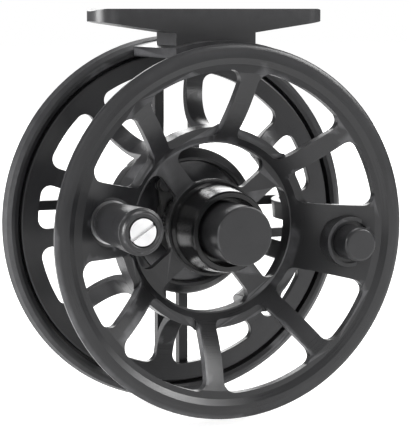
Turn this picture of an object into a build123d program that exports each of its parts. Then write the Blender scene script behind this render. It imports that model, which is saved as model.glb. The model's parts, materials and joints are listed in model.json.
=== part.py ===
"""Click-and-disc fly reel: half frame, ported spool, and a disc brake set by a rear knob.

The origin is the middle of the foot's seat on the rod, +Z points to the rod, +X to the
counterweight and -Y to the handle. Depths are measured back from the spool's front rim,
along the reel's axis.
"""

import os
from math import cos, hypot, radians, sin

from build123d import *

# Places
axis_drop = 50.9  # from the foot's seat down to the spindle's axis
foot_depth = 16.8  # from the spool's front rim back to the middle of the foot

# Clearances
running_gap = 0.05  # radial, between a shaft and its bearing
moving_gap = 0.35  # between bodies that turn past each other
seat_gap = 0.02  # between pieces that are fixed together

# Spool
rim_radius = 43.1
land_width = 2.0
web_radius = 37.2  # outer edge of the front windows
web_depth = 0.9
web_thickness = 2.0
dish_radius = 21.6  # where the front spokes end
dish_depth = 11.0
arbor_radius = 23.7
arbor_inner_radius = 20.2
arbor_length = 6.0
back_flange_radius = 40.5
back_flange_depth = 33.0
back_flange_thickness = 2.0
back_window_radius = 36.2
spoke_turn = -7.0  # direction of the counterweight's spoke
spoke_half_width = 2.2
wide_spoke_inner = 7.4
wide_spoke_outer = 9.6
slot_half_angle = 8.5  # half of the slot in the back flange behind each wide spoke
hub_disc_depth = 12.4
hub_disc_thickness = 2.0
cross_half_width = 2.6
boss_base_radius = 10.8
boss_radius = 10.2
boss_lip_radius = 9.1
boss_lip_depth = 2.7
recess_radius = 7.9
recess_depth = 7.2
hub_tube_radius = 7.0
hub_tube_end = 22.6

# Spindle and bearings
spindle_radius = 2.5
spindle_front = 1.2
bush_radius = 4.5
bush_length = 3.6

# Release cap
cap_radius = 6.82
cap_front = -5.3
cap_end = 6.4
cap_wall = 1.3
neck_radius = 5.0
neck_front = 2.6

# Frame
ring_radius = 44.6
ring_inner_radius = 41.3
ring_depth = 32.4
ring_length = 5.0
ring_lip_radius = 39.2  # the lip behind the spool's back flange
arm_depth = 35.6
arm_length = 2.2
arm_width = 2.3
# Each pair of arms: its direction, and where its two arms lie beside the line through the axis.
arm_pairs = ((0, -5.2, 3.2), (90, -5.2, 4.2), (180, -4.3, 4.3), (270, -3.7, 2.0))
frame_hub_radius = 17.8
frame_hub_depth = 34.0
bridge_half_width = 12.0
bridge_front = 6.0

# Foot
foot_length = 57.6
foot_width = 12.0
foot_tip = 1.5
foot_root = 4.3
foot_belly = 1.2  # extra depth of the underside below the seat
foot_hollow = 0.55  # how far the seat dips along its middle
post_width = 20.0
foot_screw_radius = 1.5
foot_screw_spacing = 11.0

# Brake housing
housing_radius = 17.8
housing_lip_radius = 15.6
housing_bore = 16.0
housing_foot_bore = 14.4
housing_front = 25.0
cover_radius = 14.6
cover_depth = 27.4
cover_thickness = 1.4
cover_hole = 7.4
housing_screw_circle = 16.1
housing_screw_radius = 0.9

# Brake pack, from the cover back
pack_radius = 13.2
disc_radius = 13.6
disc_thickness = 0.9
washer_thickness = 0.5
pack_gap = 0.1
plate_thickness = 0.9
clutch_outer = 7.0
clutch_inner = 4.65
drive_radius = 4.6
drive_front = 23.0
drive_pin_radius = 0.8
drive_pin_circle = 5.6
gear_radius = 7.6
gear_root = 6.7
gear_teeth = 24
gear_depth = 25.2
gear_length = 1.2
pawl_pivot_circle = 11.6
pawl_lead = 38.0  # angle from the pawl's pivot round to its tip
pawl_turn = 128.0
thrust_pin_circle = 9.4

# Rear knob
knob_radius = 11.5
knob_length = 6.4
knob_flutes = 12

# Handle and counterweight
grip_radius = 29.0
grip_turn = 173.0
handle_base_depth = 3.6
handle_length = 18.6
handle_back_radius = 4.6
handle_front_radius = 5.2
handle_screw_radius = 3.0
post_radius = 1.9
weight_radius = 4.1
weight_front = -3.4
weight_pocket_radius = 5.1
weight_pocket_depth = 3.0
weight_circle = 31.0
weight_screw_radius = 1.2
weight_head_radius = 2.4

os.makedirs("parts", exist_ok=True)

front_y = -foot_depth
face = Plane((0, front_y, -axis_drop), x_dir=(1, 0, 0), z_dir=(0, -1, 0))
section = Plane((0, front_y, -axis_drop), x_dir=(0, 0, 1), z_dir=(-1, 0, 0))
reel_axis = Axis((0, front_y, -axis_drop), (0, 1, 0))
narrow_spokes = [spoke_turn + 45 * step for step in (1, 2, 3, 5, 6, 7)]
wide_spokes = [spoke_turn, spoke_turn + 180]


def at_depth(depth):
    """A plane facing the front, this far behind the front rim."""
    return face.offset(-depth)


def polar(radius, angle):
    return (radius * cos(radians(angle)), radius * sin(radians(angle)))


def disc(outer, inner, start, end, centre=(0, 0), mode=Mode.ADD):
    """A plain ring or disc along the reel's axis, in the part being made."""
    with BuildSketch(at_depth(start)) as outline:
        with Locations(centre):
            Circle(outer)
            if inner:
                Circle(inner, mode=Mode.SUBTRACT)
    extrude(outline.sketch, amount=start - end, mode=mode)


def bore(radius, start, end, centre=(0, 0)):
    """A round hole along the reel's axis, in the part being made."""
    disc(radius, 0, start, end, centre, Mode.SUBTRACT)


def turned(*points):
    """Turns a closed outline of (radius, depth) points about the reel's axis."""
    with BuildSketch(section) as outline:
        with BuildLine():
            Polyline(*points, close=True)
        make_face()
    revolve(outline.sketch, axis=reel_axis)


def spoke_outline(angle, near, far, half_near, half_far):
    """The four corners of a spoke that widens from near to far."""
    side = polar(1, angle + 90)
    corners = []
    for reach, half in ((near, half_near), (near, -half_near), (far, -half_far), (far, half_far)):
        along = polar(reach, angle)
        corners.append((along[0] + side[0] * half, along[1] + side[1] * half))
    return corners


def window_ring(plane, inner, outer, spokes, inner_fillet, outer_fillet):
    """The windows between two circles that a list of spokes divides, corners rounded."""
    with BuildSketch(plane) as openings:
        # The circles start inside a window, clear of every spoke.
        with Locations(Location((0, 0), spoke_turn + 27)):
            Circle(outer)
            Circle(inner, mode=Mode.SUBTRACT)
        for angle, half_near, half_far in spokes:
            with BuildLine():
                Polyline(*spoke_outline(angle, inner * 0.8, outer * 1.1, half_near, half_far), close=True)
            make_face(mode=Mode.SUBTRACT)
        corners = openings.vertices()
        far = [corner for corner in corners if hypot(corner.X, corner.Y) > (inner + outer) / 2]
        fillet(far, outer_fillet)
        near = [corner for corner in openings.vertices() if hypot(corner.X, corner.Y) < inner + 0.05]
        fillet(near, inner_fillet)
    return openings.sketch


def finish(part, name):
    part.label = name
    print(name, flush=True)
    export_step(part, f"parts/{name}.step")


# ---------------------------------------------------------------- spool, front half
narrow = [(angle, spoke_half_width, spoke_half_width) for angle in narrow_spokes]
wide = [(angle, wide_spoke_inner, wide_spoke_outer) for angle in wide_spokes]
arbor_end = dish_depth + arbor_length
weight_back = weight_pocket_depth + 3.2
web_back = web_depth + web_thickness

with BuildPart() as spool_front:
    with BuildSketch(section) as outline:
        with BuildLine():
            front = Polyline(
                (rim_radius, 1.3),
                (rim_radius, 0.55),
                (rim_radius - 0.35, 0.3),
                (rim_radius - 1.2, 0),
                (rim_radius - 1.2 - land_width, 0),
                (rim_radius - 4.6, web_depth),
                (web_radius - 0.6, web_depth),
            )
            dish = ThreePointArc(front @ 1, (28.6, 5.0), (dish_radius, dish_depth))
            hub = Polyline(
                dish @ 1,
                (arbor_inner_radius + 0.1, hub_disc_depth),
                (boss_base_radius, hub_disc_depth),
                (boss_base_radius, hub_disc_depth - 0.8),
                (boss_radius, hub_disc_depth - 1.4),
                (boss_lip_radius + 0.35, boss_lip_depth + 0.7),
                (boss_lip_radius, boss_lip_depth),
                (recess_radius + 0.2, boss_lip_depth),
                (recess_radius, boss_lip_depth + 0.3),
                (recess_radius, recess_depth),
                (neck_radius, recess_depth),
                (neck_radius, neck_front),
                (0, neck_front),
                (0, hub_tube_end),
                (hub_tube_radius, hub_tube_end),
                (hub_tube_radius, hub_disc_depth + hub_disc_thickness + 1.5),
                (hub_tube_radius + 1.5, hub_disc_depth + hub_disc_thickness),
                (arbor_inner_radius, hub_disc_depth + hub_disc_thickness),
                (arbor_inner_radius, arbor_end),
                (arbor_radius, arbor_end),
                (arbor_radius, dish_depth + 0.6),
            )
            back = ThreePointArc(hub @ 1, (29.7, 6.8), (web_radius - 0.6, web_back))
            Polyline(back @ 1, (rim_radius - 0.9, web_back), (rim_radius, 1.3))
        make_face()
    revolve(axis=reel_axis)
    # The windows go right through outside the arbor, and stop at its front face inside it.
    outer_windows = window_ring(at_depth(-1), arbor_radius, web_radius, narrow + wide, 2.0, 2.6)
    extrude(outer_windows, amount=-(arbor_end + 2), mode=Mode.SUBTRACT)
    ledge_windows = window_ring(at_depth(-1), dish_radius, web_radius, narrow + wide, 2.0, 2.6)
    extrude(ledge_windows, amount=-(dish_depth + 1), mode=Mode.SUBTRACT)
    # The four openings of the cross behind the boss.
    cross = [(spoke_turn + 45 + 90 * step, cross_half_width, cross_half_width) for step in range(4)]
    cross_windows = window_ring(
        at_depth(dish_depth), boss_base_radius + 0.6, arbor_inner_radius - 0.3, cross, 1.5, 2.2
    )
    extrude(cross_windows, amount=-(hub_disc_thickness + 6), mode=Mode.SUBTRACT)
    # Stepped bore for the two bushes and the spindle.
    bore(spindle_radius + 0.5, neck_front - 1, hub_tube_end + 1)
    bore(bush_radius + seat_gap, neck_front - 1, neck_front + bush_length)
    bore(bush_radius + seat_gap, hub_tube_end - bush_length, hub_tube_end + 1)
    # Seats of the handle's post and of the counterweight, in the wide spokes.
    grip_centre = polar(grip_radius, grip_turn)
    weight_centre = polar(weight_circle, spoke_turn)
    disc(handle_back_radius + 1.0, 0, handle_base_depth, handle_base_depth + 3.6, grip_centre)
    bore(post_radius + seat_gap, handle_base_depth - 3, handle_base_depth + 5, grip_centre)
    bore(handle_back_radius + 1.0, -1, handle_base_depth, grip_centre)
    disc(weight_pocket_radius + 0.9, 0, web_depth + 1.2, weight_back, weight_centre)
    bore(weight_pocket_radius, -1, weight_pocket_depth, weight_centre)
    bore(weight_screw_radius + seat_gap, 0, weight_back + 1, weight_centre)
    bore(weight_head_radius + 0.2, weight_back, weight_back + 6, weight_centre)
    # Sockets for the drive pins.
    for step in range(3):
        socket = polar(drive_pin_circle, 120 * step + 30)
        bore(drive_pin_radius + 0.15, hub_tube_end - 1.6, hub_tube_end + 1, socket)
finish(spool_front.part, "spool_front")

# ---------------------------------------------------------------- spool, back half
back_spokes = narrow + [
    (angle + side * (slot_half_angle + 4.0), spoke_half_width, spoke_half_width)
    for angle in wide_spokes
    for side in (-1, 1)
]
flange_back = back_flange_depth + back_flange_thickness
with BuildPart() as spool_back:
    with BuildSketch(section):
        with BuildLine():
            Polyline(
                (arbor_radius, arbor_end + seat_gap),
                (arbor_radius, back_flange_depth - 9),
            )
            outside = ThreePointArc(
                (arbor_radius, back_flange_depth - 9),
                (26.6, back_flange_depth - 2.9),
                (33.5, back_flange_depth),
            )
            Polyline(
                outside @ 1,
                (back_flange_radius - 0.3, back_flange_depth),
                (back_flange_radius, back_flange_depth + 0.3),
                (back_flange_radius, flange_back),
                (33.5, flange_back),
            )
            inside = ThreePointArc(
                (33.5, flange_back),
                (25.2, back_flange_depth - 1.4),
                (arbor_radius - 2.0, back_flange_depth - 9),
            )
            Polyline(
                inside @ 1,
                (arbor_radius - 2.0, arbor_end + seat_gap),
                (arbor_radius, arbor_end + seat_gap),
            )
        make_face()
    revolve(axis=reel_axis)
    back_windows = window_ring(
        at_depth(arbor_end - 1), arbor_radius - 3.0, back_window_radius, back_spokes, 1.0, 2.4
    )
    extrude(back_windows, amount=-(flange_back - arbor_end + 3), mode=Mode.SUBTRACT)
finish(spool_back.part, "spool_back")

# ---------------------------------------------------------------- frame
ring_back = ring_depth + ring_length
ring_lip_depth = back_flange_depth + back_flange_thickness + 0.5
arm_back = arm_depth + arm_length
bridge_outer = ring_radius - 0.95
arm_reach = ring_inner_radius + 0.9
housing_screws_at = [polar(housing_screw_circle, 45 + 90 * step) for step in range(4)]
thrust_pins_at = [polar(thrust_pin_circle, 90 + 120 * step) for step in range(3)]
detent_at = polar(8.0, 0)
with BuildPart() as frame:
    turned(
        (ring_inner_radius, ring_depth + 0.4),
        (ring_inner_radius + 0.9, ring_depth),
        (ring_radius - 1.6, ring_depth),
        (ring_radius - 0.6, ring_depth + 0.7),
        (ring_radius, ring_depth + 2.4),
        (ring_radius - 0.3, ring_depth + 3.6),
        (ring_radius - 1.2, ring_back),
        (ring_lip_radius, ring_back),
        (ring_lip_radius, ring_lip_depth),
        (ring_inner_radius, ring_lip_depth),
    )
    # The bridge that carries the foot over the spool.
    with BuildSketch(at_depth(bridge_front)):
        with Locations(Location((0, 0), 270)):
            Circle(bridge_outer)
            Circle(ring_inner_radius + 0.1, mode=Mode.SUBTRACT)
        with Locations((0, ring_radius)):
            Rectangle(2 * bridge_half_width, 20, mode=Mode.INTERSECT)
    extrude(amount=-(ring_depth + 1.5 - bridge_front))
    for angle, *offsets in arm_pairs:
        for offset in offsets:
            middle = polar((arm_reach + 12) / 2, angle)
            across = polar(offset, angle + 90)
            with BuildSketch(at_depth(arm_depth)):
                with Locations(Location((middle[0] + across[0], middle[1] + across[1]), angle)):
                    Rectangle(arm_reach - 12, arm_width)
            extrude(amount=-arm_length)
    disc(frame_hub_radius, 0, frame_hub_depth, arm_back)
    bore(spindle_radius + seat_gap, frame_hub_depth - 1, arm_back + 1)
    for centre in housing_screws_at:
        bore(housing_screw_radius + seat_gap, frame_hub_depth - 1, arm_back + 1, centre)
        bore(2 * housing_screw_radius, arm_back - 1.2, arm_back + 1, centre)
    for centre in thrust_pins_at:
        bore(1.0 + running_gap, frame_hub_depth - 1, arm_back + 1, centre)
    bore(1.0, arm_back - 2.4, arm_back + 1, detent_at)
    # Countersunk holes for the foot's screws, bored up through the bridge.
    with BuildSketch(Plane.XY.offset(ring_inner_radius - 3 - axis_drop)) as foot_holes:
        with Locations((-foot_screw_spacing / 2, 0), (foot_screw_spacing / 2, 0)):
            Circle(foot_screw_radius + seat_gap)
    extrude(amount=6, mode=Mode.SUBTRACT)
    with BuildSketch(Plane.XY.offset(ring_inner_radius - 3 - axis_drop)) as foot_heads:
        with Locations((-foot_screw_spacing / 2, 0), (foot_screw_spacing / 2, 0)):
            Circle(foot_screw_radius + 1.2)
    extrude(amount=3.9, mode=Mode.SUBTRACT)
finish(frame.part, "frame")

# ---------------------------------------------------------------- reel foot
foot_half = foot_length / 2
post_half = post_width / 2
bridge_top = bridge_outer - axis_drop
with BuildPart() as reel_foot:
    with BuildSketch(Plane.XY) as plan:
        RectangleRounded(foot_length, foot_width, foot_width * 0.42)
    extrude(amount=-(foot_root + foot_belly))
    # The side view: thin tips, thickening to the post.
    with BuildSketch(Plane.XZ.offset(foot_width)) as side_view:
        with BuildLine():
            Polyline(
                (-foot_half - 1, 1),
                (foot_half + 1, 1),
                (foot_half + 1, -foot_tip - foot_belly),
                (post_half, -foot_root - foot_belly),
                (-post_half, -foot_root - foot_belly),
                (-foot_half - 1, -foot_tip - foot_belly),
                close=True,
            )
        make_face()
    extrude(amount=-2 * foot_width, mode=Mode.INTERSECT)
    # The seat dips along its middle.
    with BuildSketch(Plane.YZ.offset(-foot_length)) as hollow:
        with BuildLine():
            dip = ThreePointArc(
                (foot_width / 2 - 0.8, 0),
                (0, -foot_hollow),
                (-foot_width / 2 + 0.8, 0),
            )
            Polyline(dip @ 1, (-foot_width / 2 + 0.8, 1), (foot_width / 2 - 0.8, 1), dip @ 0)
        make_face()
    extrude(amount=2 * foot_length, mode=Mode.SUBTRACT)
    # The post down to the bridge.
    with BuildSketch(Plane.XY.offset(-foot_hollow - 1.5)):
        Rectangle(post_width, foot_width)
    extrude(amount=bridge_top + foot_hollow + 1.5 - 2.0)
    with BuildSketch(at_depth(-20)) as under_post:
        Circle(bridge_outer + seat_gap)
    extrude(amount=-80, mode=Mode.SUBTRACT)
    with BuildSketch(Plane.XY.offset(bridge_top - 3)):
        with Locations((-foot_screw_spacing / 2, 0), (foot_screw_spacing / 2, 0)):
            Circle(foot_screw_radius + seat_gap)
    extrude(amount=7, mode=Mode.SUBTRACT)
finish(reel_foot.part, "reel_foot")

with BuildPart() as foot_screws:
    head_z = ring_inner_radius + 0.25 - axis_drop
    with BuildSketch(Plane.XY.offset(head_z)):
        with Locations((-foot_screw_spacing / 2, 0), (foot_screw_spacing / 2, 0)):
            Circle(foot_screw_radius)
    extrude(amount=5.2)
    with BuildSketch(Plane.XY.offset(head_z - 0.6)):
        with Locations((-foot_screw_spacing / 2, 0), (foot_screw_spacing / 2, 0)):
            Circle(foot_screw_radius + 1.1)
    extrude(amount=1.2)
finish(foot_screws.part, "foot_screws")

# ---------------------------------------------------------------- spindle and brake housing
with BuildPart() as spindle:
    turned(
        (0, spindle_front),
        (spindle_radius - 0.4, spindle_front),
        (spindle_radius, spindle_front + 0.4),
        (spindle_radius, frame_hub_depth - 1.2),
        (6.0, frame_hub_depth - 1.2),
        (6.0, frame_hub_depth - seat_gap),
        (spindle_radius, frame_hub_depth - seat_gap),
        (spindle_radius, arm_back - 0.2),
        (0, arm_back - 0.2),
    )
    bore(1.25 + seat_gap, arm_back - 3.4, arm_back)
finish(spindle.part, "spindle")

with BuildPart() as retaining_clip:
    disc(4.2, spindle_radius + seat_gap, 1.4, 2.2)
finish(retaining_clip.part, "retaining_clip")

with BuildPart() as brake_housing:
    turned(
        (housing_lip_radius - 0.7, housing_front),
        (housing_lip_radius, housing_front),
        (housing_radius - 0.4, housing_front + 1.9),
        (housing_radius, housing_front + 2.7),
        (housing_radius, frame_hub_depth - seat_gap),
        (housing_foot_bore, frame_hub_depth - seat_gap),
        (housing_foot_bore, frame_hub_depth - 1.5),
        (housing_bore, frame_hub_depth - 1.5),
        (housing_bore, cover_depth + cover_thickness + 0.4),
        (cover_radius - 0.5, cover_depth + cover_thickness + 0.4),
        (cover_radius - 0.5, cover_depth + cover_thickness + seat_gap),
        (cover_radius, cover_depth + cover_thickness + seat_gap),
        (cover_radius, housing_front + 0.6),
    )
    for centre in housing_screws_at:
        bore(housing_screw_radius + seat_gap, frame_hub_depth - 1.5, frame_hub_depth + 1, centre)
finish(brake_housing.part, "brake_housing")

with BuildPart() as housing_cover:
    disc(cover_radius - seat_gap, cover_hole, cover_depth, cover_depth + cover_thickness)
    bore(0.8 + seat_gap, cover_depth - 1, cover_depth + 2, polar(pawl_pivot_circle, pawl_turn))
finish(housing_cover.part, "housing_cover")

with BuildPart() as housing_screws:
    for centre in housing_screws_at:
        disc(housing_screw_radius, 0, frame_hub_depth - 1.4, arm_back - 0.6, centre)
        disc(2 * housing_screw_radius - 0.1, 0, arm_back - 1.2 + seat_gap, arm_back - 0.1, centre)
finish(housing_screws.part, "housing_screws")

with BuildPart() as shaft_seal:
    disc(9.0, clutch_outer + 0.08, cover_depth - 0.75, cover_depth - seat_gap)
finish(shaft_seal.part, "shaft_seal")

# ---------------------------------------------------------------- brake pack
washer_1 = cover_depth + cover_thickness + pack_gap
disc_start = washer_1 + washer_thickness + pack_gap
washer_2 = disc_start + disc_thickness + pack_gap
plate_start = washer_2 + washer_thickness + pack_gap
spring_start = plate_start + plate_thickness + pack_gap
pin_start = spring_start + 0.85
with BuildPart() as front_brake_washer:
    disc(pack_radius, cover_hole, washer_1, washer_1 + washer_thickness)
finish(front_brake_washer.part, "front_brake_washer")

with BuildPart() as brake_disc:
    disc(disc_radius, clutch_outer + seat_gap, disc_start, disc_start + disc_thickness)
finish(brake_disc.part, "brake_disc")

with BuildPart() as rear_brake_washer:
    disc(pack_radius, cover_hole, washer_2, washer_2 + washer_thickness)
finish(rear_brake_washer.part, "rear_brake_washer")

with BuildPart() as pressure_plate:
    disc(disc_radius, cover_hole, plate_start, plate_start + plate_thickness)
finish(pressure_plate.part, "pressure_plate")

with BuildPart() as disc_spring:
    turned(
        (8.0, spring_start),
        (12.4, spring_start + 0.4),
        (12.4, spring_start + 0.8),
        (8.0, spring_start + 0.4),
    )
finish(disc_spring.part, "disc_spring")

with BuildPart() as thrust_pins:
    for centre in thrust_pins_at:
        disc(1.0, 0, pin_start, arm_back + 0.15, centre)
finish(thrust_pins.part, "thrust_pins")

with BuildPart() as one_way_clutch:
    disc(clutch_outer, clutch_inner, gear_depth + gear_length + 0.2, plate_start - 0.1)
finish(one_way_clutch.part, "one_way_clutch")

with BuildPart() as drive_hub:
    disc(drive_radius, spindle_radius + running_gap, drive_front, frame_hub_depth - 1.6)
    disc(6.8, spindle_radius + running_gap, drive_front, drive_front + 1.4)
finish(drive_hub.part, "drive_hub")

with BuildPart() as drive_pins:
    for step in range(3):
        centre = polar(drive_pin_circle, 120 * step + 30)
        disc(drive_pin_radius, 0, hub_tube_end - 1.2, drive_front - seat_gap, centre)
finish(drive_pins.part, "drive_pins")

with BuildPart() as click_gear:
    with BuildSketch(at_depth(gear_depth)):
        with BuildLine():
            points = []
            for tooth in range(gear_teeth):
                turn = pawl_turn + pawl_lead + 360 * tooth / gear_teeth
                points.append(polar(gear_root, turn))
                points.append(polar(gear_radius, turn + 180 / gear_teeth))
            Polyline(*points, close=True)
        make_face()
        Circle(drive_radius + seat_gap, mode=Mode.SUBTRACT)
    extrude(amount=-gear_length)
finish(click_gear.part, "click_gear")

pivot = polar(pawl_pivot_circle, pawl_turn)
tip = polar(gear_radius + 0.1, pawl_turn + pawl_lead)
with BuildPart() as click_pawl:
    reach = hypot(tip[0] - pivot[0], tip[1] - pivot[1])
    along = ((tip[0] - pivot[0]) / reach, (tip[1] - pivot[1]) / reach)
    across = (-along[1], along[0])
    with BuildSketch(at_depth(gear_depth)):
        with Locations(pivot):
            Circle(1.8)
        with BuildLine():
            Polyline(
                (pivot[0] + across[0] * 1.2, pivot[1] + across[1] * 1.2),
                tip,
                (pivot[0] - across[0] * 1.5, pivot[1] - across[1] * 1.5),
                close=True,
            )
        make_face()
        with Locations(pivot):
            Circle(0.8 + running_gap, mode=Mode.SUBTRACT)
    extrude(amount=-gear_length)
finish(click_pawl.part, "click_pawl")

with BuildPart() as pawl_pin:
    disc(0.8, 0, gear_depth - 0.6, cover_depth + 1.2, pivot)
    disc(1.4, 0, gear_depth - 0.9, gear_depth - 0.35, pivot)
finish(pawl_pin.part, "pawl_pin")

with BuildPart() as click_spring:
    disc(1.7, 0.8 + seat_gap, gear_depth + gear_length + 0.3, cover_depth - 0.1, pivot)
finish(click_spring.part, "click_spring")

# ---------------------------------------------------------------- rear knob
knob_start = arm_back + moving_gap
knob_end = knob_start + knob_length
with BuildPart() as drag_knob:
    with BuildSketch(at_depth(knob_start)):
        Circle(knob_radius)
        with PolarLocations(knob_radius + 1.4, knob_flutes):
            Circle(2.2, mode=Mode.SUBTRACT)
    extrude(amount=-knob_length)
    bore(9.2, knob_start - 1, knob_start + 1.0)
    disc(6.8, 0, knob_start, knob_start + 1.2)
    bore(1.25 + running_gap, knob_start - 1, knob_end + 1)
    bore(3.4, knob_end - 1.8, knob_end + 1)
finish(drag_knob.part, "drag_knob")

with BuildPart() as knob_screw:
    disc(1.25, 0, arm_back - 3.2, knob_end - 1.0)
    disc(2.9, 0, knob_end - 1.8 + 0.3, knob_end - 0.3)
    with BuildSketch(at_depth(knob_end - 0.9)):
        Rectangle(6.4, 0.8)
    extrude(amount=-1, mode=Mode.SUBTRACT)
finish(knob_screw.part, "knob_screw")

with BuildPart() as detent_ball:
    with Locations(Location((detent_at[0], front_y + arm_back - 0.35, detent_at[1] - axis_drop))):
        Sphere(0.9)
finish(detent_ball.part, "detent_ball")

with BuildPart() as detent_spring:
    disc(0.9, 0.5, arm_back - 2.35, arm_back - 1.3, detent_at)
finish(detent_spring.part, "detent_spring")

# ---------------------------------------------------------------- bushes and release cap
with BuildPart() as front_bush:
    disc(bush_radius, spindle_radius + running_gap, neck_front, neck_front + bush_length)
finish(front_bush.part, "front_bush")

with BuildPart() as rear_bush:
    disc(bush_radius, spindle_radius + running_gap, hub_tube_end - bush_length + seat_gap, hub_tube_end)
finish(rear_bush.part, "rear_bush")

with BuildPart() as release_cap:
    disc(cap_radius, 0, cap_front, cap_end)
    bore(neck_radius + running_gap, cap_front + cap_wall, cap_end + 1)
    chamfer(release_cap.faces().sort_by(Axis.Y)[0].edges(), 0.25)
finish(release_cap.part, "release_cap")

with BuildPart() as cap_spring:
    disc(4.7, 3.6, cap_front + cap_wall + seat_gap, cap_front + cap_wall + 1.4)
finish(cap_spring.part, "cap_spring")

# ---------------------------------------------------------------- handle and counterweight
washer_start = handle_base_depth - 0.6
handle_end = washer_start - moving_gap
handle_front = handle_end - handle_length
with BuildPart() as handle_washer:
    washer_end = handle_base_depth - seat_gap
    disc(handle_back_radius + 0.35, post_radius + seat_gap, washer_start, washer_end, grip_centre)
finish(handle_washer.part, "handle_washer")

with BuildPart() as handle_knob:
    grip_section = Plane(
        (grip_centre[0], front_y, grip_centre[1] - axis_drop), x_dir=(0, 0, 1), z_dir=(-1, 0, 0)
    )
    grip_axis = Axis((grip_centre[0], front_y, grip_centre[1] - axis_drop), (0, 1, 0))
    with BuildSketch(grip_section):
        with BuildLine():
            Polyline(
                (post_radius + running_gap, handle_end),
                (handle_back_radius - 0.4, handle_end),
                (handle_back_radius, handle_end - 0.5),
                (handle_front_radius, handle_front + 2.4),
                (handle_front_radius, handle_front + 1.0),
            )
            edge = RadiusArc(
                (handle_front_radius, handle_front + 1.0), (handle_front_radius - 1.0, handle_front), -1.0
            )
            Polyline(
                (handle_front_radius - 1.0, handle_front),
                (handle_screw_radius + 0.3, handle_front),
                (handle_screw_radius + 0.3, handle_front + 1.8),
                (post_radius + running_gap, handle_front + 1.8),
                (post_radius + running_gap, handle_end),
            )
        make_face()
    revolve(axis=grip_axis)
finish(handle_knob.part, "handle_knob")

with BuildPart() as handle_post:
    disc(post_radius, 0, handle_front + 1.5, handle_base_depth + 3.4, grip_centre)
    bore(1.2 + seat_gap, handle_front, handle_front + 8, grip_centre)
finish(handle_post.part, "handle_post")

with BuildPart() as handle_screw:
    disc(handle_screw_radius, 0, handle_front - 0.1, handle_front + 1.5 - seat_gap, grip_centre)
    disc(1.2, 0, handle_front, handle_front + 7.8, grip_centre)
    with BuildSketch(at_depth(handle_front - 1)):
        with Locations(Location(grip_centre, 33)):
            Rectangle(8, 0.75)
    extrude(amount=-1.7, mode=Mode.SUBTRACT)
finish(handle_screw.part, "handle_screw")

with BuildPart() as counterweight:
    disc(weight_radius, 0, weight_front, weight_pocket_depth - seat_gap, weight_centre)
    chamfer(counterweight.faces().sort_by(Axis.Y)[0].edges(), 0.6)
    bore(weight_screw_radius + seat_gap, weight_front + 2, weight_pocket_depth + 1, weight_centre)
finish(counterweight.part, "counterweight")

with BuildPart() as counterweight_screw:
    disc(weight_screw_radius, 0, weight_front + 2.3, weight_back + 1.0, weight_centre)
    disc(weight_head_radius, 0, weight_back + seat_gap, weight_back + 1.5, weight_centre)
finish(counterweight_screw.part, "counterweight_screw")
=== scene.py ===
# Fly reel: finishes, broken edges, coil springs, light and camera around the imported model.
import json
import math

import bpy
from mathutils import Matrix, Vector


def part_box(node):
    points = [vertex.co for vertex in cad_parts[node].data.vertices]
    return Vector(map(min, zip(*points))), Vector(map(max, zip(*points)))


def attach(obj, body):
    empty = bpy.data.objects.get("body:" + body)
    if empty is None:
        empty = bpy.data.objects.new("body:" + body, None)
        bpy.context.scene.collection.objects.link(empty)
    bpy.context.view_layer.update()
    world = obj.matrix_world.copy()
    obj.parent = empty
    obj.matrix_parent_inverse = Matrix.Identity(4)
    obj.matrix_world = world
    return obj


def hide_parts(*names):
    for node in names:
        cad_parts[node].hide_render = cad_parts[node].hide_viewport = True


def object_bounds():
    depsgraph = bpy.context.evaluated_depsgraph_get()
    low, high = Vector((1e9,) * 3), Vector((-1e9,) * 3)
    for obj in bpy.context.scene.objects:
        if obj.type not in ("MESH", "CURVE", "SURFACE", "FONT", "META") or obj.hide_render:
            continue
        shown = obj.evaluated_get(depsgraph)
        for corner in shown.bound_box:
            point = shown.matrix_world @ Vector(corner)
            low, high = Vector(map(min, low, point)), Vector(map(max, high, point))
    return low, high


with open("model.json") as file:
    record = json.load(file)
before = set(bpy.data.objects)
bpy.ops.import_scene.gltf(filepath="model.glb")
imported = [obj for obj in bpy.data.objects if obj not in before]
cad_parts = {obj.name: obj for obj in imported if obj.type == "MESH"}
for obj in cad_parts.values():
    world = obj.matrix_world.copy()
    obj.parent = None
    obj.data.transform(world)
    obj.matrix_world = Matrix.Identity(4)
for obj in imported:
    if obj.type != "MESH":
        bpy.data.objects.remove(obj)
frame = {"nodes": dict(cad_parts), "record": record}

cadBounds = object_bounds()
nodes = frame["nodes"]
print("loaded", len(nodes), "nodes")


def centreOf(node):
    low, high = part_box(node)
    return tuple((low[i] + high[i]) / 2 for i in range(3))


reelCentre = centreOf("spool_back")
gripCentre = centreOf("handle_washer")
weightCentre = centreOf("counterweight")


# Short ways to make shader nodes.
def newGroup(name, inputs, outputs):
    group = bpy.data.node_groups.new(name, "ShaderNodeTree")
    for label, kind, value in inputs:
        socket = group.interface.new_socket(name=label, in_out="INPUT", socket_type=kind)
        if value is not None:
            socket.default_value = value
    for label, kind in outputs:
        group.interface.new_socket(name=label, in_out="OUTPUT", socket_type=kind)
    return group, group.nodes.new("NodeGroupInput"), group.nodes.new("NodeGroupOutput")


def mathNode(tree, operation, first, second=None):
    node = tree.nodes.new("ShaderNodeMath")
    node.operation = operation
    for index, value in enumerate((first, second)):
        if value is None:
            continue
        if isinstance(value, (int, float)):
            node.inputs[index].default_value = value
        else:
            tree.links.new(value, node.inputs[index])
    return node.outputs[0]


def rangeNode(tree, value, fromLow, fromHigh, toLow, toHigh):
    node = tree.nodes.new("ShaderNodeMapRange")
    for socket, setting in zip(node.inputs[1:5], (fromLow, fromHigh, toLow, toHigh)):
        socket.default_value = setting
    tree.links.new(value, node.inputs[0])
    return node.outputs[0]


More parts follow.
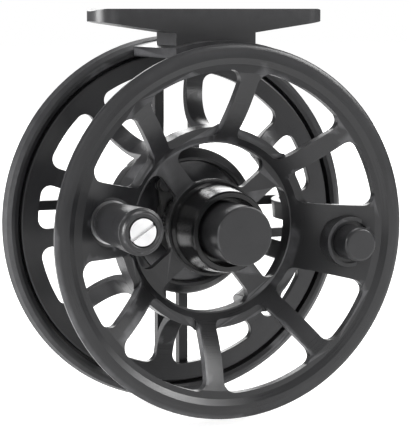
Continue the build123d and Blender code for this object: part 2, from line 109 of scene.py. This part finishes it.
# Numbers that the effects and every finish share. broadLines and dustSpecks are per metre, and
# bumpDistance and bossEdge are in metres.
effects = {
    "depthShare": 0.7, "fineDetail": 3.0, "broadLines": 900.0,
    "grainDetail": 4.0, "cloudDetail": 5.0, "wearDetail": 4.0, "wearFade": 0.08,
    "dustFrom": 0.3, "dustSpecks": 700.0, "dustDetail": 6.0, "dustColour": (0.42, 0.41, 0.40),
    "unevenLow": 0.6, "unevenHigh": 1.4, "bumpDistance": 0.00008, "bumpStrength": 0.8,
    "coatRoughness": 0.25, "bossEdge": 0.0003, "bossRoughness": 0.55,
}


def makeTurnedLines():
    group, inside, outside = newGroup(
        "turnedLines",
        [
            ("Vector", "NodeSocketVector", None),
            ("Lines Per Metre", "NodeSocketFloat", 4000.0),
            ("Wander", "NodeSocketFloat", 0.5),
        ],
        [("Height", "NodeSocketFloat"), ("Mask", "NodeSocketFloat"), ("Radius", "NodeSocketFloat")],
    )
    split = group.nodes.new("ShaderNodeSeparateXYZ")
    group.links.new(inside.outputs["Vector"], split.inputs[0])
    across = mathNode(group, "MULTIPLY", split.outputs[0], split.outputs[0])
    upward = mathNode(group, "MULTIPLY", split.outputs[2], split.outputs[2])
    radius = mathNode(group, "SQRT", mathNode(group, "ADD", across, upward))
    group.links.new(radius, outside.inputs["Radius"])
    depth = mathNode(group, "MULTIPLY", split.outputs[1], effects["depthShare"])
    along = mathNode(group, "ADD", radius, depth)
    fine = group.nodes.new("ShaderNodeTexNoise")
    fine.noise_dimensions = "1D"
    fine.inputs["Detail"].default_value = effects["fineDetail"]
    pitch = mathNode(group, "MULTIPLY", along, inside.outputs["Lines Per Metre"])
    group.links.new(pitch, fine.inputs["W"])
    broad = group.nodes.new("ShaderNodeTexNoise")
    broad.noise_dimensions = "1D"
    group.links.new(mathNode(group, "MULTIPLY", along, effects["broadLines"]), broad.inputs["W"])
    wander = mathNode(group, "MULTIPLY", broad.outputs["Fac"], inside.outputs["Wander"])
    group.links.new(mathNode(group, "ADD", fine.outputs["Fac"], wander), outside.inputs["Height"])
    group.links.new(fine.outputs["Fac"], outside.inputs["Mask"])
    return group


def makeBlastedGrain():
    group, inside, outside = newGroup(
        "blastedGrain",
        [
            ("Vector", "NodeSocketVector", None),
            ("Grains Per Metre", "NodeSocketFloat", 9000.0),
            ("Cloud Scale", "NodeSocketFloat", 90.0),
        ],
        [("Height", "NodeSocketFloat"), ("Cloud", "NodeSocketFloat")],
    )
    grain = group.nodes.new("ShaderNodeTexNoise")
    grain.inputs["Detail"].default_value = effects["grainDetail"]
    cloud = group.nodes.new("ShaderNodeTexNoise")
    cloud.inputs["Detail"].default_value = effects["cloudDetail"]
    for texture, scale in ((grain, "Grains Per Metre"), (cloud, "Cloud Scale")):
        group.links.new(inside.outputs["Vector"], texture.inputs["Vector"])
        group.links.new(inside.outputs[scale], texture.inputs["Scale"])
    group.links.new(grain.outputs["Fac"], outside.inputs["Height"])
    group.links.new(cloud.outputs["Fac"], outside.inputs["Cloud"])
    return group


def makeEdgeWear():
    group, inside, outside = newGroup(
        "edgeWear",
        [
            ("Vector", "NodeSocketVector", None),
            ("Start", "NodeSocketFloat", 0.52),
            ("Breakup", "NodeSocketFloat", 400.0),
        ],
        [("Mask", "NodeSocketFloat")],
    )
    shape = group.nodes.new("ShaderNodeNewGeometry")
    patches = group.nodes.new("ShaderNodeTexNoise")
    patches.inputs["Detail"].default_value = effects["wearDetail"]
    group.links.new(inside.outputs["Vector"], patches.inputs["Vector"])
    group.links.new(inside.outputs["Breakup"], patches.inputs["Scale"])
    raised = mathNode(group, "SUBTRACT", shape.outputs["Pointiness"], inside.outputs["Start"])
    edge = rangeNode(group, raised, 0.0, effects["wearFade"], 0.0, 1.0)
    worn = mathNode(group, "MULTIPLY", edge, patches.outputs["Fac"])
    group.links.new(worn, outside.inputs["Mask"])
    return group


def makeDust():
    group, inside, outside = newGroup(
        "settledDust",
        [("Vector", "NodeSocketVector", None), ("Amount", "NodeSocketFloat", 0.1)],
        [("Mask", "NodeSocketFloat")],
    )
    shape = group.nodes.new("ShaderNodeNewGeometry")
    split = group.nodes.new("ShaderNodeSeparateXYZ")
    group.links.new(shape.outputs["Normal"], split.inputs[0])
    flat = rangeNode(group, split.outputs[2], effects["dustFrom"], 1.0, 0.0, 1.0)
    specks = group.nodes.new("ShaderNodeTexNoise")
    specks.inputs["Scale"].default_value = effects["dustSpecks"]
    specks.inputs["Detail"].default_value = effects["dustDetail"]
    group.links.new(inside.outputs["Vector"], specks.inputs["Vector"])
    settled = mathNode(group, "MULTIPLY", flat, specks.outputs["Fac"])
    dusty = mathNode(group, "MULTIPLY", settled, inside.outputs["Amount"])
    group.links.new(dusty, outside.inputs["Mask"])
    return group


turnedLines = makeTurnedLines()
blastedGrain = makeBlastedGrain()
edgeWear = makeEdgeWear()
settledDust = makeDust()


def placeGroup(tree, group, vector, **values):
    node = tree.nodes.new("ShaderNodeGroup")
    node.node_tree = group
    tree.links.new(vector, node.inputs["Vector"])
    for label, value in values.items():
        node.inputs[label.replace("_", " ")].default_value = value
    return node


# Inputs 6 and 7 and output 2 are the colour sockets of a Mix node.
def mixColour(tree, factor, first, second):
    node = tree.nodes.new("ShaderNodeMix")
    node.data_type = "RGBA"
    tree.links.new(factor, node.inputs["Factor"])
    for socket, value in ((node.inputs[6], first), (node.inputs[7], second)):
        if isinstance(value, tuple):
            socket.default_value = (*value, 1.0)
        else:
            tree.links.new(value, socket)
    return node.outputs[2]


# Each finish has its colours, its roughness range, how deep its lines and grain are, and its
# dust. glossWithin is the radius in metres inside which a piece is glossier.
finishes = {
    "turnedBlack": {
        "deep": (0.012, 0.012, 0.013), "light": (0.018, 0.018, 0.0195),
        "worn": (0.1, 0.1, 0.105), "metallic": 0.1, "rough": (0.26, 0.36),
        "lines": 0.16, "grain": 0.03, "pitch": 5200.0, "dust": 0.03, "coat": 0.0,
    },
    "spoolBlack": {
        "deep": (0.012, 0.012, 0.013), "light": (0.018, 0.018, 0.0195),
        "worn": (0.1, 0.1, 0.105), "metallic": 0.1, "rough": (0.26, 0.36),
        "lines": 0.18, "grain": 0.03, "pitch": 5200.0, "dust": 0.03, "coat": 0.0,
        "glossWithin": 0.0112, "glossColour": (0.006, 0.006, 0.0065),
    },
    "blastedBlack": {
        "deep": (0.013, 0.013, 0.014), "light": (0.02, 0.02, 0.021),
        "worn": (0.09, 0.09, 0.095), "metallic": 0.1, "rough": (0.32, 0.42),
        "lines": 0.02, "grain": 0.14, "pitch": 3000.0, "dust": 0.04, "coat": 0.0,
    },
    "glossBlack": {
        "deep": (0.012, 0.012, 0.013), "light": (0.018, 0.018, 0.02),
        "worn": (0.06, 0.06, 0.065), "metallic": 0.3, "rough": (0.16, 0.24),
        "lines": 0.05, "grain": 0.02, "pitch": 4200.0, "dust": 0.03, "coat": 0.4,
    },
    "brightSteel": {
        "deep": (0.6, 0.6, 0.61), "light": (0.78, 0.78, 0.79),
        "worn": (0.9, 0.9, 0.9), "metallic": 1.0, "rough": (0.3, 0.45),
        "lines": 0.25, "grain": 0.1, "pitch": 7000.0, "dust": 0.02, "coat": 0.0,
    },
    "groundSteel": {
        "deep": (0.38, 0.38, 0.39), "light": (0.52, 0.52, 0.53),
        "worn": (0.75, 0.75, 0.75), "metallic": 1.0, "rough": (0.28, 0.42),
        "lines": 0.2, "grain": 0.05, "pitch": 6000.0, "dust": 0.03, "coat": 0.0,
    },
    "springSteel": {
        "deep": (0.3, 0.3, 0.32), "light": (0.42, 0.42, 0.44),
        "worn": (0.65, 0.65, 0.65), "metallic": 1.0, "rough": (0.25, 0.38),
        "lines": 0.08, "grain": 0.05, "pitch": 9000.0, "dust": 0.02, "coat": 0.0,
    },
    "brakeFibre": {
        "deep": (0.018, 0.018, 0.018), "light": (0.05, 0.048, 0.045),
        "worn": (0.12, 0.11, 0.1), "metallic": 0.0, "rough": (0.55, 0.75),
        "lines": 0.05, "grain": 0.35, "pitch": 3000.0, "dust": 0.0, "coat": 0.0,
    },
    "paleAcetal": {
        "deep": (0.6, 0.58, 0.52), "light": (0.72, 0.7, 0.64),
        "worn": (0.8, 0.78, 0.72), "metallic": 0.0, "rough": (0.35, 0.45),
        "lines": 0.08, "grain": 0.04, "pitch": 5000.0, "dust": 0.0, "coat": 0.0,
    },
    "sealRubber": {
        "deep": (0.012, 0.012, 0.012), "light": (0.02, 0.02, 0.02),
        "worn": (0.05, 0.05, 0.05), "metallic": 0.0, "rough": (0.55, 0.7),
        "lines": 0.02, "grain": 0.12, "pitch": 2000.0, "dust": 0.05, "coat": 0.0,
    },
    "blackAcetal": {
        "deep": (0.014, 0.014, 0.014), "light": (0.022, 0.022, 0.022),
        "worn": (0.05, 0.05, 0.05), "metallic": 0.0, "rough": (0.35, 0.45),
        "lines": 0.06, "grain": 0.05, "pitch": 5000.0, "dust": 0.0, "coat": 0.0,
    },
    "blackOxide": {
        "deep": (0.03, 0.03, 0.033), "light": (0.05, 0.05, 0.054),
        "worn": (0.14, 0.14, 0.14), "metallic": 0.8, "rough": (0.35, 0.48),
        "lines": 0.1, "grain": 0.05, "pitch": 6000.0, "dust": 0.0, "coat": 0.0,
    },
}


def makeFinish(name, centre):
    settings = finishes[name]
    material = bpy.data.materials.new(name)
    material.use_nodes = True
    tree = material.node_tree
    shader = tree.nodes["Principled BSDF"]
    place = tree.nodes.new("ShaderNodeTexCoord")
    mapping = tree.nodes.new("ShaderNodeMapping")
    mapping.inputs["Location"].default_value = tuple(-value for value in centre)
    tree.links.new(place.outputs["Object"], mapping.inputs["Vector"])
    vector = mapping.outputs["Vector"]
    lines = placeGroup(tree, turnedLines, vector, Lines_Per_Metre=settings["pitch"])
    grain = placeGroup(tree, blastedGrain, vector)
    wear = placeGroup(tree, edgeWear, vector)
    dust = placeGroup(tree, settledDust, vector, Amount=settings["dust"])
    body = mixColour(tree, grain.outputs["Cloud"], settings["deep"], settings["light"])
    rubbed = mixColour(tree, wear.outputs["Mask"], body, settings["worn"])
    dusty = mixColour(tree, dust.outputs["Mask"], rubbed, effects["dustColour"])
    low, high = settings["rough"]
    uneven = mathNode(tree, "ADD", lines.outputs["Mask"], grain.outputs["Cloud"])
    roughness = rangeNode(tree, uneven, effects["unevenLow"], effects["unevenHigh"], low, high)
    if "glossWithin" in settings:
        # The boss in the middle is finished glossier than the flanges.
        edge = settings["glossWithin"]
        boss = rangeNode(tree, lines.outputs["Radius"], edge, edge + effects["bossEdge"], 1.0, 0.0)
        dusty = mixColour(tree, boss, dusty, settings["glossColour"])
        smoother = rangeNode(tree, boss, 0.0, 1.0, 1.0, effects["bossRoughness"])
        roughness = mathNode(tree, "MULTIPLY", roughness, smoother)
    tree.links.new(dusty, shader.inputs["Base Color"])
    tree.links.new(roughness, shader.inputs["Roughness"])
    lineHeight = mathNode(tree, "MULTIPLY", lines.outputs["Height"], settings["lines"])
    grainHeight = mathNode(tree, "MULTIPLY", grain.outputs["Height"], settings["grain"])
    bump = tree.nodes.new("ShaderNodeBump")
    bump.inputs["Distance"].default_value = effects["bumpDistance"]
    bump.inputs["Strength"].default_value = effects["bumpStrength"]
    tree.links.new(mathNode(tree, "ADD", lineHeight, grainHeight), bump.inputs["Height"])
    tree.links.new(bump.outputs["Normal"], shader.inputs["Normal"])
    shader.inputs["Metallic"].default_value = settings["metallic"]
    shader.inputs["Coat Weight"].default_value = settings["coat"]
    shader.inputs["Coat Roughness"].default_value = effects["coatRoughness"]
    return material


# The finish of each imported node.
nodeFinish = {
    "spool_front": "spoolBlack",
    "spool_back": "turnedBlack",
    "frame": "turnedBlack",
    "reel_foot": "blastedBlack",
    "brake_housing": "turnedBlack",
    "housing_cover": "glossBlack",
    "release_cap": "turnedBlack",
    "handle_knob": "turnedBlack",
    "counterweight": "turnedBlack",
    "drag_knob": "turnedBlack",
    "foot_screws": "groundSteel",
    "spindle": "groundSteel",
    "retaining_clip": "springSteel",
    "housing_screws": "groundSteel",
    "shaft_seal": "sealRubber",
    "front_brake_washer": "brakeFibre",
    "rear_brake_washer": "brakeFibre",
    "brake_disc": "groundSteel",
    "pressure_plate": "groundSteel",
    "disc_spring": "springSteel",
    "thrust_pins": "groundSteel",
    "one_way_clutch": "groundSteel",
    "drive_hub": "blackOxide",
    "drive_pins": "groundSteel",
    "click_gear": "blackOxide",
    "click_pawl": "blackAcetal",
    "pawl_pin": "blackOxide",
    "click_spring": "springSteel",
    "knob_screw": "groundSteel",
    "detent_ball": "brightSteel",
    "detent_spring": "springSteel",
    "front_bush": "paleAcetal",
    "rear_bush": "blackAcetal",
    "cap_spring": "springSteel",
    "handle_washer": "springSteel",
    "handle_post": "groundSteel",
    "handle_screw": "brightSteel",
    "counterweight_screw": "groundSteel",
}
# Pieces that were turned about an axis of their own.
ownCentre = {
    "handle_knob": gripCentre,
    "handle_washer": gripCentre,
    "handle_post": gripCentre,
    "handle_screw": gripCentre,
    "counterweight": weightCentre,
    "counterweight_screw": weightCentre,
}
made = {}
for node, name in nodeFinish.items():
    made[node] = makeFinish(name, ownCentre.get(node, reelCentre))
    nodes[node].data.materials.clear()
    nodes[node].data.materials.append(made[node])
bodyOf = {}
for body, members in frame["record"]["behaviour"]["bodies"].items():
    for member in members:
        bodyOf[member] = body
print("finishes placed")


def pieceFrom(name, node, smoothAngle):
    # What every new piece needs: its finish, its place in its mesh, and the body it moves with.
    piece = bpy.context.object
    piece.name = name
    piece.data.name = name
    bpy.ops.object.transform_apply(location=True, rotation=True, scale=True)
    piece.data.materials.clear()
    piece.data.materials.append(made[node])
    bpy.ops.object.shade_smooth_by_angle(angle=math.radians(smoothAngle))
    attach(piece, bodyOf[node])
    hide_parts(node)


# Machined pieces get their edges broken: how wide in metres, and from what bend in degrees.
brokenEdges = {
    "spool_front": {"name": "spoolFront", "width": 0.00022, "angle": 38},
    "spool_back": {"name": "spoolBack", "width": 0.00020, "angle": 38},
    "frame": {"name": "halfFrame", "width": 0.00022, "angle": 38},
    "reel_foot": {"name": "rodFoot", "width": 0.00045, "angle": 30},
    "brake_housing": {"name": "brakeDrum", "width": 0.00018, "angle": 38},
    "release_cap": {"name": "releaseCap", "width": 0.00018, "angle": 30},
    "handle_knob": {"name": "handleGrip", "width": 0.00020, "angle": 34},
    "counterweight": {"name": "weightStub", "width": 0.00022, "angle": 30},
    "drag_knob": {"name": "brakeKnob", "width": 0.00035, "angle": 30},
}
# merge is in metres, and flatten and smoothBelow are in degrees.
edgeWork = {"merge": 0.000002, "flatten": 0.6, "segments": 2, "smoothBelow": 20, "flatWeight": 80}


def breakEdges(node, settings):
    bpy.ops.object.select_all(action="DESELECT")
    piece = nodes[node].copy()
    piece.data = nodes[node].data.copy()
    bpy.context.scene.collection.objects.link(piece)
    bpy.context.view_layer.objects.active = piece
    piece.select_set(True)
    bpy.ops.mesh.customdata_custom_splitnormals_clear()
    bpy.ops.object.mode_set(mode="EDIT")
    bpy.ops.mesh.select_all(action="SELECT")
    bpy.ops.mesh.remove_doubles(threshold=edgeWork["merge"])
    bpy.ops.mesh.dissolve_limited(angle_limit=math.radians(edgeWork["flatten"]))
    bpy.ops.object.mode_set(mode="OBJECT")
    bevel = piece.modifiers.new("brokenEdge", "BEVEL")
    bevel.width = settings["width"]
    bevel.segments = edgeWork["segments"]
    bevel.limit_method = "ANGLE"
    bevel.angle_limit = math.radians(settings["angle"])
    bevel.use_clamp_overlap = True
    bpy.ops.object.modifier_apply(modifier=bevel.name)
    pieceFrom(settings["name"], node, edgeWork["smoothBelow"])
    flats = piece.modifiers.new("flatFaces", "WEIGHTED_NORMAL")
    flats.keep_sharp = True
    flats.weight = edgeWork["flatWeight"]
    bpy.ops.object.modifier_apply(modifier=flats.name)


for node, settings in brokenEdges.items():
    breakEdges(node, settings)
print("edges broken")


# Coil springs stand for the plain tubes: wire radius in metres and number of turns.
springs = {
    "cap_spring": {"name": "capSpring", "wire": 0.00022, "turns": 3},
    "click_spring": {"name": "clickSpring", "wire": 0.00012, "turns": 2},
    "detent_spring": {"name": "detentSpring", "wire": 0.00012, "turns": 3},
}
coilWork = {"wireCorners": 10, "stepsPerTurn": 32, "smoothBelow": 60}
for node, settings in springs.items():
    low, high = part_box(node)
    wire = settings["wire"]
    middle = centreOf(node)
    bpy.ops.object.select_all(action="DESELECT")
    bpy.ops.mesh.primitive_circle_add(vertices=coilWork["wireCorners"], radius=wire)
    coil = bpy.context.object
    for corner in coil.data.vertices:
        corner.co.x += (high[0] - low[0]) / 2 - wire
        corner.co.y += low[1] + wire
    turn = coil.modifiers.new("turns", "SCREW")
    turn.axis = "Y"
    turn.angle = math.tau * settings["turns"]
    turn.steps = turn.render_steps = coilWork["stepsPerTurn"] * settings["turns"]
    turn.screw_offset = high[1] - low[1] - 2 * wire
    bpy.ops.object.modifier_apply(modifier=turn.name)
    bpy.ops.object.mode_set(mode="EDIT")
    bpy.ops.mesh.select_all(action="SELECT")
    bpy.ops.mesh.fill_holes(sides=coilWork["wireCorners"])
    bpy.ops.mesh.select_all(action="SELECT")
    bpy.ops.mesh.normals_make_consistent(inside=False)
    bpy.ops.object.mode_set(mode="OBJECT")
    coil.location = (middle[0], 0, middle[2])
    pieceFrom(settings["name"], node, coilWork["smoothBelow"])
print("springs wound")


# Floor: far from the reel it glows towards white, so no horizon shows.
floorSettings = {
    "gap": 0.0005, "size": 8.0, "colour": (0.9, 0.9, 0.9), "roughness": 0.9,
    "glowFrom": 0.15, "glowTo": 1.2, "glowNear": 0.42, "glowFar": 0.88,
}
bpy.ops.object.select_all(action="DESELECT")
lowest = cadBounds[0][2]
floorPlace = (0, 0, lowest - floorSettings["gap"])
bpy.ops.mesh.primitive_plane_add(size=floorSettings["size"], location=floorPlace)
floor = bpy.context.object
floor.name = "floor"
floor.data.transform(floor.matrix_world)
floor.matrix_world.identity()
pale = bpy.data.materials.new("paleFloor")
pale.use_nodes = True
paleTree = pale.node_tree
paleShader = paleTree.nodes["Principled BSDF"]
paleShader.inputs["Base Color"].default_value = (*floorSettings["colour"], 1)
paleShader.inputs["Roughness"].default_value = floorSettings["roughness"]
spot = paleTree.nodes.new("ShaderNodeTexCoord")
reach = paleTree.nodes.new("ShaderNodeVectorMath")
reach.operation = "LENGTH"
paleTree.links.new(spot.outputs["Object"], reach.inputs[0])
glow = rangeNode(
    paleTree, reach.outputs["Value"], floorSettings["glowFrom"], floorSettings["glowTo"],
    floorSettings["glowNear"], floorSettings["glowFar"],
)
paleRay = paleTree.nodes.new("ShaderNodeLightPath")
glow = mathNode(paleTree, "MULTIPLY", glow, paleRay.outputs["Is Camera Ray"])
paleShader.inputs["Emission Color"].default_value = (1, 1, 1, 1)
paleTree.links.new(glow, paleShader.inputs["Emission Strength"])
floor.data.materials.append(pale)

# Surroundings: white to the camera, and dimmer as light on the reel.
surroundings = {"lighting": 0.17, "seen": 1.0}
world = bpy.data.worlds.new("studio")
bpy.context.scene.world = world
world.use_nodes = True
sky = world.node_tree
backdrop = sky.nodes["Background"]
backdrop.inputs["Color"].default_value = (1, 1, 1, 1)
ray = sky.nodes.new("ShaderNodeLightPath")
seenByCamera = ray.outputs["Is Camera Ray"]
brightness = rangeNode(sky, seenByCamera, 0.0, 1.0, surroundings["lighting"], surroundings["seen"])
sky.links.new(brightness, backdrop.inputs["Strength"])
bpy.context.scene.view_settings.view_transform = "Standard"

# Place and size in metres and power in watts of each soft light; all face the reel.
lights = {
    "keyLight": {"at": (0.62, -0.50, 0.38), "size": 0.34, "power": 6.5},
    "leftLight": {"at": (-0.85, 0.02, 0.08), "size": 0.5, "power": 15.0},
    "topLight": {"at": (0.05, 0.05, 0.75), "size": 0.45, "power": 5.0},
    "frontLight": {"at": (-0.25, -0.9, 0.25), "size": 0.5, "power": 1.2},
    "backLight": {"at": (0.35, 0.9, 0.35), "size": 0.6, "power": 5.0},
}
aim = Vector(reelCentre)
for name, settings in lights.items():
    lamp = bpy.data.lights.new(name, "AREA")
    lamp.energy = settings["power"]
    lamp.size = settings["size"]
    holder = bpy.data.objects.new(name, lamp)
    bpy.context.scene.collection.objects.link(holder)
    holder.location = settings["at"]
    holder.rotation_euler = (aim - Vector(settings["at"])).to_track_quat("-Z", "Y").to_euler()

cameraSettings = {
    "at": (-0.1660, -0.3833, 0.0), "azimuth": -23.4, "elevation": 6.58,
    "lens": 149.7, "sensor": 36.0, "nearest": 0.01,
}
azimuth = math.radians(cameraSettings["azimuth"])
elevation = math.radians(cameraSettings["elevation"])
towards = Vector((
    -math.sin(azimuth) * math.cos(elevation),
    math.cos(azimuth) * math.cos(elevation),
    -math.sin(elevation),
))
lens = bpy.data.cameras.new("viewCamera")
lens.lens = cameraSettings["lens"]
lens.sensor_width = cameraSettings["sensor"]
lens.clip_start = cameraSettings["nearest"]
viewCamera = bpy.data.objects.new("viewCamera", lens)
bpy.context.scene.collection.objects.link(viewCamera)
viewCamera.location = cameraSettings["at"]
viewCamera.rotation_euler = towards.to_track_quat("-Z", "Y").to_euler()
bpy.context.scene.camera = viewCamera
print("stage ready")
